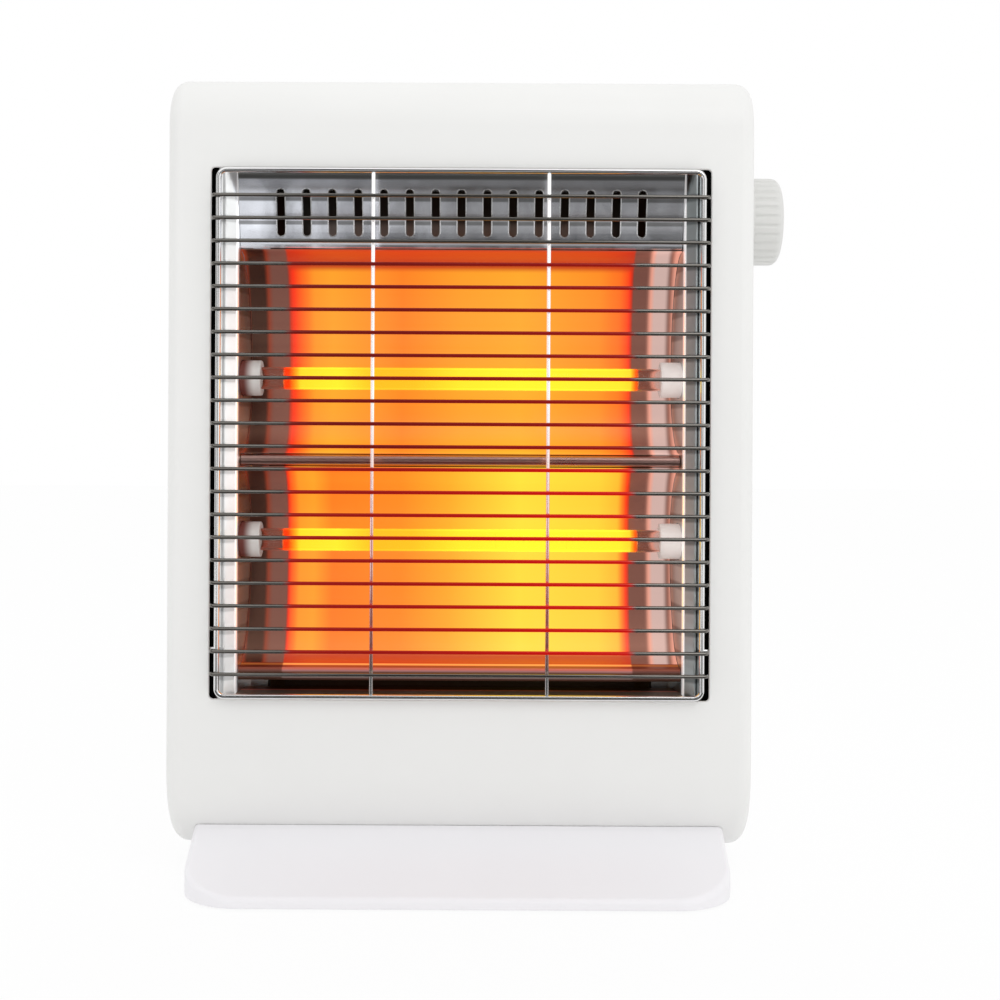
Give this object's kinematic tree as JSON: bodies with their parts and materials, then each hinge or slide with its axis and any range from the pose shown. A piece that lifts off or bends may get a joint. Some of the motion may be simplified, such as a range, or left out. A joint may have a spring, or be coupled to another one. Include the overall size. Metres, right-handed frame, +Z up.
{
  "type": "halogen heater",
  "caption": "Free-standing radiant heater: slim upright casing on a low wedge base, glowing lamps in mirror troughs behind a wire guard, side knob and tilt switch.",
  "frame": {"origin": "on the floor, under the middle of the overall width (the knob included) and of the base's depth", "axes": "+X to the heater's right as one faces it, +Y towards its back, +Z up"},
  "size_m": [0.3306, 0.172, 0.426],
  "materials": {
    "casing_plastic": "satin off-white",
    "base_plastic": "satin cool white",
    "knob_plastic": "satin white",
    "guard_wire": "bright plated",
    "mirror_sheet": "bright rolled",
    "trough_sheet": "polished",
    "plated_steel": "zinc plated",
    "lamp_glass": "clear quartz, lit",
    "filament_wire": "glowing tungsten",
    "white_ceramic": "matt ceramic",
    "black_rubber": "matt",
    "dark_plastic": "matt",
    "tab_brass": "plain",
    "red_cover": "smooth",
    "blue_cover": "smooth",
    "black_cover": "smooth"
  },
  "bodies": {
    "heater": {"front_casing": "casing_plastic", "rear_casing": "casing_plastic", "casing_screws": "plated_steel", "base_shell": "base_plastic", "base_plate": "plated_steel", "base_plate_screws": "plated_steel", "base_screws": "plated_steel", "foot_front_left": "black_rubber", "foot_front_right": "black_rubber", "foot_rear_left": "black_rubber", "foot_rear_right": "black_rubber", "guard_bars": "guard_wire", "guard_uprights": "guard_wire", "guard_frame": "guard_wire", "side_plate_left": "mirror_sheet", "side_plate_right": "mirror_sheet", "plate_screws": "plated_steel", "louvre_panel": "mirror_sheet", "bottom_shelf": "mirror_sheet", "upper_reflector": "trough_sheet", "lower_reflector": "trough_sheet", "ridge_bar": "mirror_sheet", "heat_shield": "plated_steel", "shield_screws": "plated_steel", "upper_lamp_tube": "lamp_glass", "lower_lamp_tube": "lamp_glass", "upper_filament": "filament_wire", "lower_filament": "filament_wire", "cap_upper_left": "white_ceramic", "cap_upper_right": "white_ceramic", "cap_lower_left": "white_ceramic", "cap_lower_right": "white_ceramic", "clip_upper_left": "plated_steel", "clip_upper_right": "plated_steel", "clip_lower_left": "plated_steel", "clip_lower_right": "plated_steel", "rotary_switch": "dark_plastic", "switch_terminals": "tab_brass", "switch_bracket": "plated_steel", "bracket_screws": "plated_steel", "thermal_cutout": "dark_plastic", "terminal_block": "white_ceramic", "cord_gland": "dark_plastic", "tilt_housing": "dark_plastic", "tilt_cap": "dark_plastic", "tilt_spring": "plated_steel", "micro_switch": "dark_plastic", "micro_pin": "plated_steel", "lead_high": "red_cover", "lead_low": "red_cover", "lead_lamp_link": "blue_cover", "lead_splice": "plated_steel", "lead_return": "blue_cover", "lead_neutral": "blue_cover", "lead_live": "black_cover", "lead_common": "black_cover"},
    "knob": {"knob": "knob_plastic", "switch_shaft": "plated_steel"},
    "tilt_plunger": {"tilt_plunger": "knob_plastic"},
    "micro_lever": {"micro_lever": "plated_steel"}
  },
  "joints": [
    {"name": "knob_turn", "type": "hinge", "parent": "heater", "child": "knob", "pos_m": [0.14535, 0.015, 0.3547], "axis": [1, 0, 0], "range_deg": [0, 120]},
    {"name": "tilt_plunger_slide", "type": "slide", "parent": "heater", "child": "tilt_plunger", "axis": [0, 0, -1], "range_m": [0, 0.006], "stiffness_N_per_m": 150, "springref_m": 0.01, "deforming": ["tilt_spring"]},
    {"name": "micro_lever_turn", "type": "hinge", "parent": "heater", "child": "micro_lever", "pos_m": [0.01575, 0.015, 0.06215], "axis": [0, -1, 0], "range_deg": [0, 13]}
  ],
  "couplings": [
    {"joint": "micro_lever_turn", "follows": "tilt_plunger_slide", "rad_per_m": 37.5}
  ]
}
